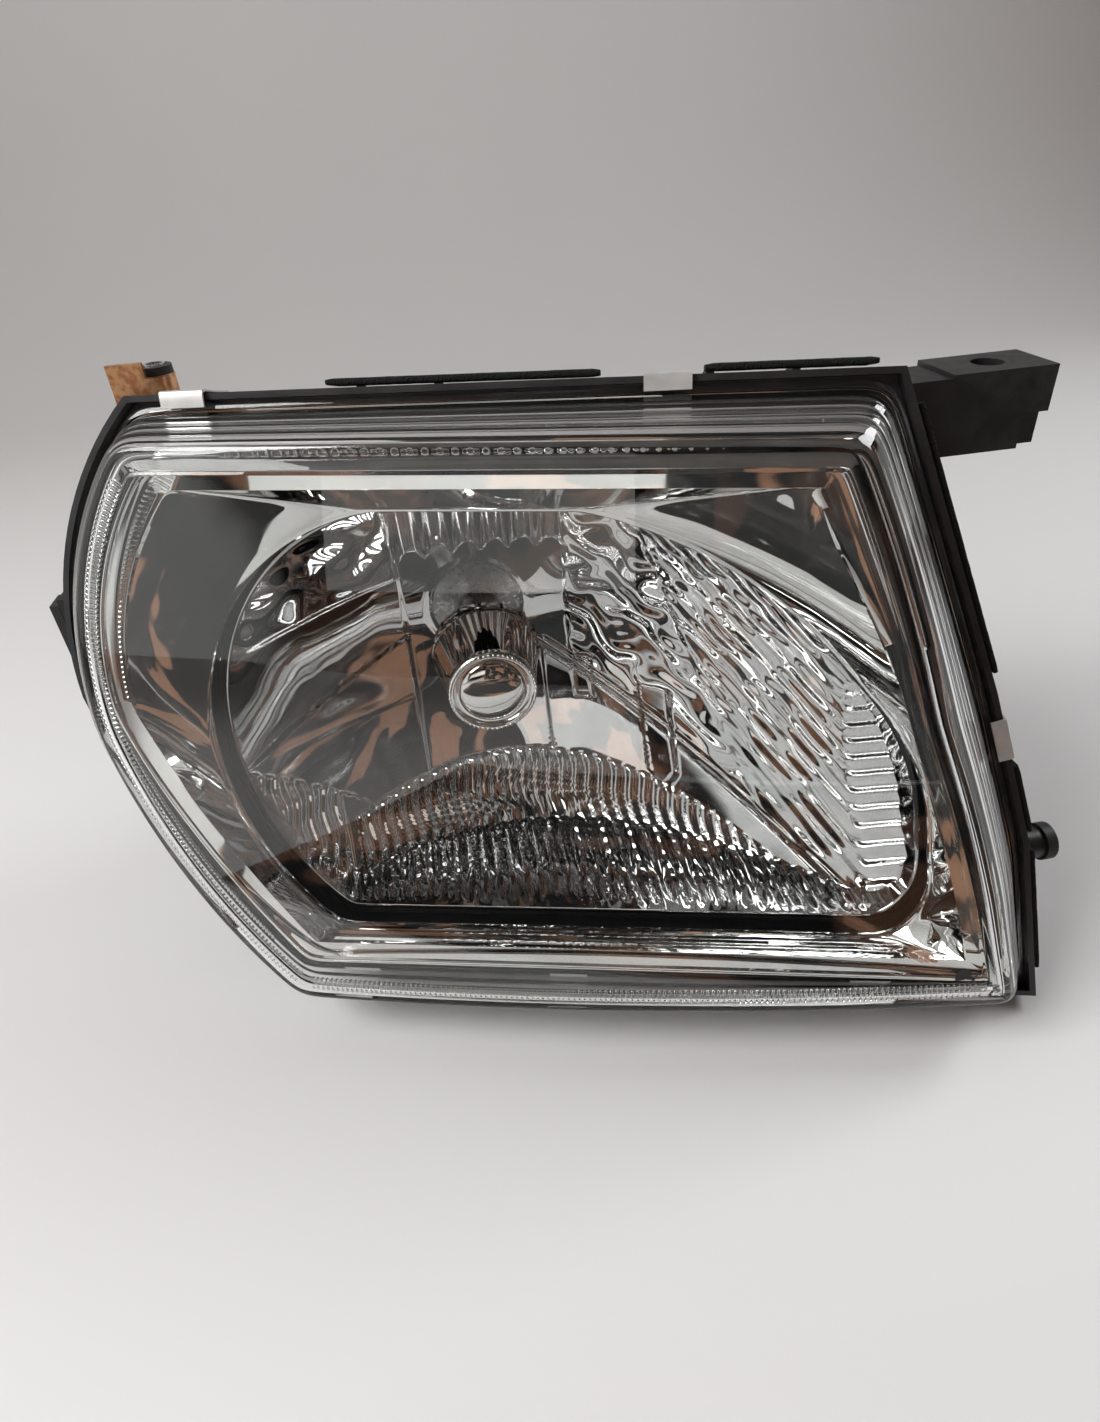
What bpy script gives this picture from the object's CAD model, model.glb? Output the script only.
"""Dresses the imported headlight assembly: clear glass, bright trim, mirrored dish and black housing."""
import logging
import math
from dataclasses import dataclass, field
from enum import Enum
from typing import Iterable, Sequence, Union

import bmesh
import bpy
from mathutils import Matrix, Vector, noise


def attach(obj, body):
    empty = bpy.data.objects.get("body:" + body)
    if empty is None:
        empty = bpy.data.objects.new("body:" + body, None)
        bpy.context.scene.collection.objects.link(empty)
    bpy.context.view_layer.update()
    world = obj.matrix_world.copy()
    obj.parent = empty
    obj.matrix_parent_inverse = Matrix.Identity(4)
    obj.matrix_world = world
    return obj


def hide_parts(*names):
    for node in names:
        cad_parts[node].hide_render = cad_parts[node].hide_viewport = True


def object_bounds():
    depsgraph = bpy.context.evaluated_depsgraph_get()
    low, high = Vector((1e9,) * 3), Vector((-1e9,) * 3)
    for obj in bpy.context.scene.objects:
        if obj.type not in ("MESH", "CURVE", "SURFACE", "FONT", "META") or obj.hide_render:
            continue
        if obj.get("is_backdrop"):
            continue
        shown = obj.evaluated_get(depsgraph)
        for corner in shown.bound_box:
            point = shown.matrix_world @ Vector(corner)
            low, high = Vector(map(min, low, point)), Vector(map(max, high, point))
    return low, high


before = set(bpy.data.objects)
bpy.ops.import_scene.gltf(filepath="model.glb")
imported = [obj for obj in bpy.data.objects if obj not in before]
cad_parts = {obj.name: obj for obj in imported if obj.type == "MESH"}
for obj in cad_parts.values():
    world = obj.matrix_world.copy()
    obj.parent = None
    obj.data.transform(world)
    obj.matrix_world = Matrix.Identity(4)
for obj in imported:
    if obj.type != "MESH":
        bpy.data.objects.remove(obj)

log = logging.getLogger("headlight")
MM = 0.001
Loop = list[tuple[float, float]]
Colour = tuple[float, float, float, float]


# ------------------------------------------------------------------------------ shaders
class Flow:
    """A shader socket that can be used in arithmetic, each step adding a Math node."""

    def __init__(self, graph: "Graph", socket: bpy.types.NodeSocket) -> None:
        """Wrap a socket.

        Args:
            graph: The graph whose tree holds the socket.
            socket: The output socket.
        """
        self.graph = graph
        self.socket = socket

    def _math(self, operation: str, first: "Operand", second: "Operand") -> "Flow":
        """Add a Math node.

        Args:
            operation: The node's operation.
            first: Its first value.
            second: Its second value.

        Returns:
            The node's result.
        """
        made = self.graph.node("ShaderNodeMath", {"operation": operation}, {0: first, 1: second})
        return Flow(self.graph, made.outputs[0])

    def __add__(self, other: "Operand") -> "Flow":
        """Return this plus another."""
        return self._math("ADD", self, other)

    def __radd__(self, other: "Operand") -> "Flow":
        """Return another plus this."""
        return self._math("ADD", other, self)

    def __sub__(self, other: "Operand") -> "Flow":
        """Return this less another."""
        return self._math("SUBTRACT", self, other)

    def __rsub__(self, other: "Operand") -> "Flow":
        """Return another less this."""
        return self._math("SUBTRACT", other, self)

    def __mul__(self, other: "Operand") -> "Flow":
        """Return this times another."""
        return self._math("MULTIPLY", self, other)

    def __rmul__(self, other: "Operand") -> "Flow":
        """Return another times this."""
        return self._math("MULTIPLY", other, self)

    def step(self, low: float, high: float) -> "Flow":
        """Return a smooth step.

        Args:
            low: The value where the step starts from 0.
            high: The value where it reaches 1.

        Returns:
            The stepped value.
        """
        made = self.graph.node("ShaderNodeMapRange", {"interpolation_type": "SMOOTHSTEP"},
                               {"Value": self, "From Min": low, "From Max": high})
        return Flow(self.graph, made.outputs["Result"])

    def between(self, low: float, high: float) -> "Flow":
        """Return the value, from 0 to 1, spread between two others.

        Args:
            low: The result at 0.
            high: The result at 1.

        Returns:
            The spread value.
        """
        return self * (high - low) + low


Operand = Union[Flow, float]


class Graph:
    """A node tree under construction."""

    def __init__(self, tree: bpy.types.NodeTree) -> None:
        """Take up a tree.

        Args:
            tree: The tree.
        """
        self.tree = tree

    def node(self, kind: str, settings: dict | None = None, inputs: dict | None = None) -> bpy.types.Node:
        """Add one node.

        Args:
            kind: The node's type.
            settings: Its properties, set first.
            inputs: Values, flows or sockets by input name or index.

        Returns:
            The node.
        """
        made = self.tree.nodes.new(kind)
        for key, value in (settings or {}).items():
            setattr(made, key, value)
        for key, value in (inputs or {}).items():
            self.feed(made.inputs[key], value)
        return made

    def feed(self, socket: bpy.types.NodeSocket, value: object) -> None:
        """Link a flow or socket to an input, or set its value.

        Args:
            socket: The input.
            value: What it gets.
        """
        if isinstance(value, Flow):
            value = value.socket
        if isinstance(value, bpy.types.NodeSocket):
            self.tree.links.new(value, socket)
        else:
            socket.default_value = value

    def blend(self, mask: Flow, first: object, second: object) -> bpy.types.NodeSocket:
        """Mix two colours.

        Args:
            mask: Where the second shows.
            first: A colour or a socket.
            second: A colour or a socket.

        Returns:
            The mixed colour.
        """
        return self.node("ShaderNodeMix", {"data_type": "RGBA"}, {0: mask, 6: first, 7: second}).outputs[2]


class Recipe(Graph):
    """A node material under construction."""

    def __init__(self, name: str) -> None:
        """Start a material with a principled shader.

        Args:
            name: The material's name.
        """
        self.material = bpy.data.materials.new(name)
        self.material.use_nodes = True
        super().__init__(self.material.node_tree)
        self.surface = self.tree.nodes["Principled BSDF"]
        self.place = self.node("ShaderNodeTexCoord").outputs["Object"]

    def stretched(self, scale: Sequence[float]) -> bpy.types.NodeSocket:
        """Return object coordinates scaled by axis.

        Args:
            scale: Factors for x, y and z.

        Returns:
            The vector socket.
        """
        return self.node("ShaderNodeMapping", None, {"Vector": self.place, "Scale": tuple(scale)}).outputs[0]

    def noise(self, scale: float, detail: float = 3.0, vector: bpy.types.NodeSocket | None = None) -> Flow:
        """Add a noise texture.

        Args:
            scale: Its scale, per metre.
            detail: Its detail.
            vector: Its coordinates, object coordinates by default.

        Returns:
            The noise, from 0 to 1.
        """
        made = self.node("ShaderNodeTexNoise", None,
                         {"Vector": vector or self.place, "Scale": scale, "Detail": detail})
        return Flow(self, made.outputs[0])

    def cells(self, scale: float) -> Flow:
        """Add a cell texture.

        Args:
            scale: Its scale, per metre.

        Returns:
            The distance to each cell's middle.
        """
        made = self.node("ShaderNodeTexVoronoi", None, {"Vector": self.place, "Scale": scale})
        return Flow(self, made.outputs["Distance"])

    def set(self, **values: object) -> None:
        """Set inputs of the principled shader.

        Args:
            values: Input names with underscores for spaces, and what they get.
        """
        for key, value in values.items():
            self.feed(self.surface.inputs[key.replace("_", " ")], value)

    def relief(self, height: Flow, strength: float, distance: float) -> None:
        """Feed the shader's normal from a height.

        Args:
            height: The height, from 0 to 1.
            strength: The bump's strength.
            distance: The full height, in metres.
        """
        bump = self.node("ShaderNodeBump", None,
                         {"Strength": strength, "Distance": distance, "Height": height})
        self.set(Normal=bump.outputs[0])

    def edges(self, low: float, high: float) -> Flow:
        """Return a mask of convex edges.

        Args:
            low: Pointiness where it starts.
            high: Pointiness where it is full.

        Returns:
            The mask.
        """
        return Flow(self, self.node("ShaderNodeNewGeometry").outputs["Pointiness"]).step(low, high)


class Grain(Enum):
    """How a finish's surface is textured."""

    POLISHED = "polished"
    SPARKED = "sparked"
    BRUSHED = "brushed"
    CELLULAR = "cellular"
    WAVY = "wavy"


@dataclass(frozen=True)
class Finish:
    """One finish of the assembly."""

    slot: str
    base: tuple[float, float, float]
    tint: tuple[float, float, float]
    rough: tuple[float, float]
    grain: Grain = Grain.POLISHED
    mottle: float = 60.0
    pitch: float = 900.0
    depth: float = 0.0001
    strength: float = 0.3
    metallic: float = 0.0
    transmission: float = 0.0
    ior: float = 1.5
    coat: float = 0.0
    sheen: float = 0.0
    wear: float = 0.0

    def height(self, recipe: Recipe) -> Flow:
        """Return the relief of the finish.

        Args:
            recipe: The recipe to add nodes to.

        Returns:
            The height, from 0 to 1.
        """
        if self.grain is Grain.BRUSHED:
            return recipe.noise(self.pitch, 2.0, recipe.stretched((0.04, 1.0, 1.0)))
        if self.grain is Grain.CELLULAR:
            return recipe.cells(self.pitch) + recipe.noise(self.pitch * 0.4) * 0.6
        if self.grain is Grain.SPARKED:
            return recipe.noise(self.pitch, 4.0) * 0.7 + recipe.cells(self.pitch * 0.7) * 0.3
        if self.grain is Grain.WAVY:
            return recipe.noise(self.pitch, 1.0)
        return recipe.noise(self.pitch, 2.0)

    def make(self) -> bpy.types.Material:
        """Build the node material.

        Returns:
            The material.
        """
        recipe = Recipe(self.slot)
        patches = recipe.noise(self.mottle, 4.0)
        colour = recipe.blend(patches.step(0.35, 0.7), (*self.base, 1.0), (*self.tint, 1.0))
        if self.wear:
            pale = tuple(min(1.0, part * 2.2 + 0.06) for part in self.base)
            worn = recipe.edges(0.52, 0.62) * recipe.noise(self.mottle * 5, 3.0).step(0.35, 0.6) * self.wear
            colour = recipe.blend(worn, colour, (*pale, 1.0))
        smears = recipe.noise(self.mottle * 2.3, 5.0).step(0.3, 0.75)
        recipe.set(Base_Color=colour, Roughness=smears.between(*self.rough), Metallic=self.metallic,
                   Transmission_Weight=self.transmission, IOR=self.ior, Coat_Weight=self.coat,
                   Sheen_Weight=self.sheen)
        recipe.relief(self.height(recipe), self.strength, self.depth)
        return recipe.material


FINISHES = (
    Finish("black_moulding", (0.012, 0.012, 0.013), (0.019, 0.019, 0.02), (0.36, 0.52), Grain.SPARKED,
           pitch=1600, depth=0.00008, strength=0.35, wear=0.12),
    Finish("clear_lens", (0.985, 0.99, 0.985), (0.96, 0.975, 0.965), (0.0, 0.02), Grain.WAVY, mottle=25,
           pitch=22, depth=0.0004, strength=0.05, transmission=1.0, ior=1.49),
    Finish("sealant", (0.02, 0.02, 0.022), (0.035, 0.035, 0.036), (0.3, 0.55), Grain.WAVY, pitch=260,
           depth=0.0006, strength=0.5),
    Finish("bright_trim", (0.8, 0.8, 0.79), (0.72, 0.72, 0.71), (0.015, 0.06), Grain.WAVY, mottle=40,
           pitch=26, depth=0.0006, strength=0.1, metallic=1.0),
    Finish("mirror_coat", (0.64, 0.64, 0.645), (0.56, 0.56, 0.565), (0.012, 0.05), Grain.WAVY, mottle=50,
           pitch=60, depth=0.0005, strength=0.12, metallic=1.0),
    Finish("spring_steel", (0.82, 0.82, 0.81), (0.72, 0.72, 0.71), (0.38, 0.5), Grain.BRUSHED, mottle=90,
           pitch=2600, depth=0.00003, strength=0.3, metallic=0.65, wear=0.15),
    Finish("dull_trim", (0.2, 0.2, 0.197), (0.15, 0.15, 0.148), (0.4, 0.55), Grain.WAVY, mottle=60, pitch=300,
           depth=0.0003, strength=0.2),
    Finish("black_foam", (0.0025, 0.0025, 0.0025), (0.005, 0.005, 0.005), (0.9, 0.99), Grain.CELLULAR,
           pitch=1500, depth=0.0005, strength=0.8),
    Finish("copper_plate", (0.62, 0.27, 0.13), (0.42, 0.17, 0.08), (0.28, 0.48), Grain.BRUSHED, mottle=70,
           pitch=1500, depth=0.00005, strength=0.3, metallic=0.85, wear=0.5),
    Finish("zinc_steel", (0.6, 0.6, 0.61), (0.46, 0.46, 0.47), (0.22, 0.42), Grain.SPARKED, mottle=200,
           pitch=1300, depth=0.00004, strength=0.3, metallic=1.0, wear=0.4),
    Finish("black_rubber", (0.014, 0.014, 0.015), (0.024, 0.024, 0.025), (0.5, 0.72), Grain.SPARKED,
           pitch=1200, depth=0.00006, strength=0.35, sheen=0.08),
    Finish("white_nylon", (0.74, 0.73, 0.69), (0.66, 0.645, 0.6), (0.34, 0.5), Grain.SPARKED, pitch=900,
           depth=0.00005, strength=0.2, coat=0.1, wear=0.2),
    Finish("bulb_glass", (0.97, 0.975, 0.98), (0.93, 0.94, 0.95), (0.0, 0.02), Grain.WAVY, mottle=150,
           pitch=90, depth=0.0002, strength=0.08, transmission=1.0, ior=1.46),
    Finish("tungsten", (0.35, 0.34, 0.33), (0.25, 0.24, 0.23), (0.3, 0.5), Grain.BRUSHED, mottle=600,
           pitch=5000, depth=0.00003, strength=0.5, metallic=1.0),
    Finish("grey_ceramic", (0.5, 0.49, 0.46), (0.4, 0.39, 0.37), (0.55, 0.75), Grain.SPARKED, mottle=300,
           pitch=1400, depth=0.00008, strength=0.4),
    Finish("brass_blade", (0.78, 0.6, 0.3), (0.64, 0.47, 0.22), (0.2, 0.38), Grain.BRUSHED, mottle=220,
           pitch=2200, depth=0.00003, strength=0.3, metallic=1.0, wear=0.4),
)


# ----------------------------------------------------------------------------- geometry
@dataclass(frozen=True)
class FaceFrame:
    """The lamp's face: its middle, swept back to one side and leaning back."""

    middle: tuple[float, float, float] = (-0.151, -0.042, -0.075)
    sweep: float = 14.0
    rake: float = 15.0

    def turn(self) -> Matrix:
        """Return the turn from face axes to the part's axes."""
        return Matrix.Rotation(-math.radians(self.sweep), 3, "Z") @ Matrix.Rotation(
            math.radians(90 - self.rake), 3, "X")

    def point(self, across: float, rise: float, out: float) -> Vector:
        """Place a point of the face.

        Args:
            across: Millimetres to the right.
            rise: Millimetres up the face.
            out: Millimetres out of the face.

        Returns:
            The point in metres.
        """
        return Vector(self.middle) + TURN @ Vector((across, rise, out)) * MM


TURN = FaceFrame().turn()
FACE = FaceFrame()


def row_point(x: float, y: float, z: float) -> Vector:
    """Place a point given from the face's middle along the part's own axes.

    Args:
        x: Millimetres along X.
        y: Millimetres along Y.
        z: Millimetres along Z.

    Returns:
        The point in metres.
    """
    return Vector(FACE.middle) + Vector((x, y, z)) * MM


@dataclass(frozen=True)
class Outline:
    """Closed outline of arcs: corners with the radius of the edge that follows each."""

    corners: tuple[tuple[float, float, float], ...]

    def loop(self, counts: Sequence[int], smoothing: int) -> Loop:
        """Sample the outline.

        Args:
            counts: Points on each edge.
            smoothing: Times that the corners are eased.

        Returns:
            The points, counter-clockwise from the top left.
        """
        points: Loop = []
        for index, (x, y, bend) in enumerate(self.corners):
            start = Vector((x, y))
            end = Vector(self.corners[(index + 1) % len(self.corners)][:2])
            chord = end - start
            count = counts[index]
            if bend == 0:
                points += [tuple(start + chord * step / count) for step in range(count)]
                continue
            inward = Vector((-chord.y, chord.x)).normalized()
            centre = (start + end) / 2 + inward * math.sqrt(bend ** 2 - chord.length ** 2 / 4)
            first = math.atan2(start.y - centre.y, start.x - centre.x)
            swing = 2 * math.asin(chord.length / 2 / bend)
            points += [(centre.x + bend * math.cos(first + swing * step / count),
                        centre.y + bend * math.sin(first + swing * step / count)) for step in range(count)]
        for _ in range(smoothing):
            size = len(points)
            points = [((points[i - 1][0] + 2 * points[i][0] + points[(i + 1) % size][0]) / 4,
                       (points[i - 1][1] + 2 * points[i][1] + points[(i + 1) % size][1]) / 4)
                      for i in range(size)]
        return points


def grown(loop: Loop, distance: float) -> Loop:
    """Offset a loop outwards.

    Args:
        loop: Counter-clockwise points.
        distance: Millimetres outwards.

    Returns:
        The offset points.
    """
    size = len(loop)
    made: Loop = []
    for i, (x, y) in enumerate(loop):
        before, after = loop[i - 2], loop[(i + 2) % size]
        dx, dy = after[0] - before[0], after[1] - before[1]
        long = math.hypot(dx, dy) or 1.0
        made.append((x + dy / long * distance, y - dx / long * distance))
    return made


def mixed(first: Loop, second: Loop, share: float) -> Loop:
    """Return the loop part of the way from one to another.

    Args:
        first: The loop at 0.
        second: The loop at 1.
        share: How far along.

    Returns:
        The loop between.
    """
    return [(a[0] + (b[0] - a[0]) * share, a[1] + (b[1] - a[1]) * share) for a, b in zip(first, second)]


GLASS = Outline(((-124, 80, 115), (-152, -12, 217), (-94, -110, 0), (151, -108, 0), (141, -70, 600),
                 (119, -8, 600), (88, 74, 0)))
BRIM = Outline(((-131, 89, 112), (-166, -5, 300), (-105, -117, 0), (163, -117, 0), (153, -61, 0),
                (136, -8, 0), (100, 87, 0)))
TRIM = Outline(((-126, 72, 108), (-153, -8, 400), (-97, -107, 0), (148, -107.5, 0), (137, -68, 0),
                (115, -2, 0), (86, 66, 0)))
WINDOW = Outline(((-61, 56, 78), (-129, -28, 112), (-90, -104, 0), (116, -104, 26), (129, -72, 90),
                  (102, -7, 162), (10, 54, 0)))


def crown(across: float) -> float:
    """Return how far the glass's front stands out at a place across it."""
    return 9.5 - across * across / 2400


@dataclass
class Skin:
    """Rings of points joined into one closed surface."""

    rings: list[list[Vector]] = field(default_factory=list)

    def mesh(self, name: str, tube: bool = False, poles: tuple[Vector, Vector] | None = None,
             crease: float = 32.0) -> bpy.types.Mesh:
        """Join the rings.

        Args:
            name: The mesh's name.
            tube: Whether the last ring joins the first.
            poles: Points that close the first and the last ring.
            crease: Angle in degrees above which an edge is sharp.

        Returns:
            The mesh, faces outwards.
        """
        size = len(self.rings[0])
        points = [point for ring in self.rings for point in ring]
        count = len(self.rings)
        faces = []
        for r in range(count if tube else count - 1):
            here, there = r * size, ((r + 1) % count) * size
            faces += [(here + i, here + (i + 1) % size, there + (i + 1) % size, there + i)
                      for i in range(size)]
        if poles:
            points += list(poles)
            first, last = len(points) - 2, len(points) - 1
            top = (count - 1) * size
            faces += [(first, (i + 1) % size, i) for i in range(size)]
            faces += [(last, top + i, top + (i + 1) % size) for i in range(size)]
        return solid_mesh(name, points, faces, crease)


def solid_mesh(name: str, points: Sequence[Vector], faces: Sequence[Sequence[int]],
               crease: float = 32.0) -> bpy.types.Mesh:
    """Make a mesh with outward faces, smooth but for its sharp edges.

    Args:
        name: The mesh's name.
        points: Its points, in metres.
        faces: Its faces, as indices of points.
        crease: Angle in degrees above which an edge is sharp.

    Returns:
        The mesh.
    """
    mesh = bpy.data.meshes.new(name)
    mesh.from_pydata([tuple(point) for point in points], [], [tuple(face) for face in faces])
    work = bmesh.new()
    work.from_mesh(mesh)
    bmesh.ops.remove_doubles(work, verts=work.verts, dist=1e-6)
    bmesh.ops.recalc_face_normals(work, faces=work.faces)
    limit = math.radians(crease)
    for edge in work.edges:
        edge.smooth = not (len(edge.link_faces) == 2 and edge.calc_face_angle(0.0) > limit)
    for face in work.faces:
        face.smooth = True
    work.to_mesh(mesh)
    work.free()
    return mesh


@dataclass
class Workshop:
    """Materials by slot, and how finished pieces join the assembly."""

    materials: dict[str, bpy.types.Material] = field(default_factory=dict)

    def mix_finishes(self) -> None:
        """Make one material for each slot."""
        for finish in FINISHES:
            self.materials[finish.slot] = finish.make()

    def fit(self, name: str, mesh: bpy.types.Mesh, body: str, slot: str,
            replaces: Iterable[str] = ()) -> bpy.types.Object:
        """Fit a finished mesh to the assembly.

        Args:
            name: The piece's name.
            mesh: Its mesh, in place.
            body: The body that it moves with.
            slot: Its finish.
            replaces: CAD nodes that it stands for.

        Returns:
            The piece.
        """
        mesh.materials.clear()
        mesh.materials.append(self.materials[slot])
        piece = bpy.data.objects.new(name, mesh)
        bpy.context.scene.collection.objects.link(piece)
        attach(piece, body)
        if replaces:
            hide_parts(*replaces)
        log.info("%s: %d faces on %s", name, len(mesh.polygons), body)
        return piece

    def dress(self, node: str, slot: str) -> None:
        """Give a CAD node its finish.

        Args:
            node: The node's name.
            slot: Its finish.
        """
        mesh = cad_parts[node].data
        mesh.materials.clear()
        mesh.materials.append(self.materials[slot])
        log.info("%s: %s", node, slot)


class Unit(Enum):
    """Small shapes that are set out in rows."""

    BEAD = "bead"
    ROD = "rod"
    BLOCK = "block"


@dataclass
class RowTree:
    """Geometry Nodes tree that sets equal units along a line, each lying along the line's own 'lay'."""

    unit: Unit
    radius: float
    length: float

    def build(self, name: str) -> bpy.types.GeometryNodeTree:
        """Build the tree.

        Args:
            name: The tree's name.

        Returns:
            The tree, with inputs Count, Radius, Length and Finish.
        """
        tree = bpy.data.node_groups.new(name, "GeometryNodeTree")
        face = tree.interface
        face.new_socket("Geometry", in_out="INPUT", socket_type="NodeSocketGeometry")
        for label, kind in (("Count", "NodeSocketInt"), ("Radius", "NodeSocketFloat"),
                            ("Length", "NodeSocketFloat"), ("Finish", "NodeSocketMaterial")):
            face.new_socket(label, in_out="INPUT", socket_type=kind)
        face.new_socket("Geometry", in_out="OUTPUT", socket_type="NodeSocketGeometry")
        graph = Graph(tree)
        start = graph.node("NodeGroupInput").outputs
        curve = graph.node("GeometryNodeMeshToCurve", None, {0: start["Geometry"]})
        spaced = graph.node("GeometryNodeResampleCurve", None,
                            {"Curve": curve.outputs[0], "Count": start["Count"]})
        lay = graph.node("GeometryNodeInputNamedAttribute", {"data_type": "FLOAT_VECTOR"}, {"Name": "lay"})
        aim = graph.node("FunctionNodeAlignRotationToVector", {"axis": "Z"},
                         {"Vector": lay.outputs["Attribute"]})
        copies = graph.node("GeometryNodeInstanceOnPoints", None,
                            {"Points": spaced.outputs[0], "Instance": self.shape(graph, start),
                             "Rotation": aim.outputs[0]})
        real = graph.node("GeometryNodeRealizeInstances", None, {0: copies.outputs[0]})
        coat = graph.node("GeometryNodeSetMaterial", None,
                          {"Geometry": real.outputs[0], "Material": start["Finish"]})
        graph.node("NodeGroupOutput", None, {0: coat.outputs[0]})
        return tree

    def shape(self, graph: Graph, start: bpy.types.NodeOutputs) -> bpy.types.NodeSocket:
        """Add the nodes of one unit.

        Args:
            graph: The tree's graph.
            start: The tree's own inputs.

        Returns:
            The unit's geometry.
        """
        if self.unit is Unit.BEAD:
            made = graph.node("GeometryNodeMeshIcoSphere", None,
                              {"Subdivisions": 2, "Radius": start["Radius"]})
            return graph.node("GeometryNodeSetShadeSmooth", None, {0: made.outputs[0]}).outputs[0]
        corners = 4 if self.unit is Unit.BLOCK else 6
        made = graph.node("GeometryNodeMeshCylinder", None,
                          {"Vertices": corners, "Radius": start["Radius"], "Depth": start["Length"]})
        return made.outputs[0]

    def along(self, name: str, points: Sequence[Vector], lays: Sequence[Vector], count: int,
              finish: bpy.types.Material, closed: bool = False) -> bpy.types.Mesh:
        """Set units along a line of points.

        Args:
            name: The mesh's name.
            points: The line, in metres.
            lays: The direction of a unit's length at each point.
            count: How many units.
            finish: Their material.
            closed: Whether the line closes on itself.

        Returns:
            The units as one plain mesh.
        """
        size = len(points)
        line = bpy.data.meshes.new(name + "_line")
        edges = [(i, i + 1) for i in range(size - 1)] + ([(size - 1, 0)] if closed else [])
        line.from_pydata([tuple(point) for point in points], edges, [])
        lay = line.attributes.new("lay", "FLOAT_VECTOR", "POINT")
        for entry, value in zip(lay.data, lays):
            entry.vector = value
        holder = bpy.data.objects.new(name + "_holder", line)
        bpy.context.scene.collection.objects.link(holder)
        modifier = holder.modifiers.new("rows", "NODES")
        modifier.node_group = self.build(name + "_tree")
        values = {"Count": count, "Radius": self.radius, "Length": self.length, "Finish": finish}
        for item in modifier.node_group.interface.items_tree:
            if item.in_out == "INPUT" and item.name in values:
                modifier[item.identifier] = values[item.name]
        bpy.context.view_layer.update()
        graph = bpy.context.evaluated_depsgraph_get()
        mesh = bpy.data.meshes.new_from_object(holder.evaluated_get(graph))
        bpy.data.objects.remove(holder)
        mesh.name = name
        lay = mesh.attributes.get("lay")
        if lay:
            mesh.attributes.remove(lay)
        return mesh


def towards(first: Sequence[Vector], second: Sequence[Vector]) -> list[Vector]:
    """Return the directions from the points of one line to those of another."""
    return [(b - a).normalized() for a, b in zip(first, second)]


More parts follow.
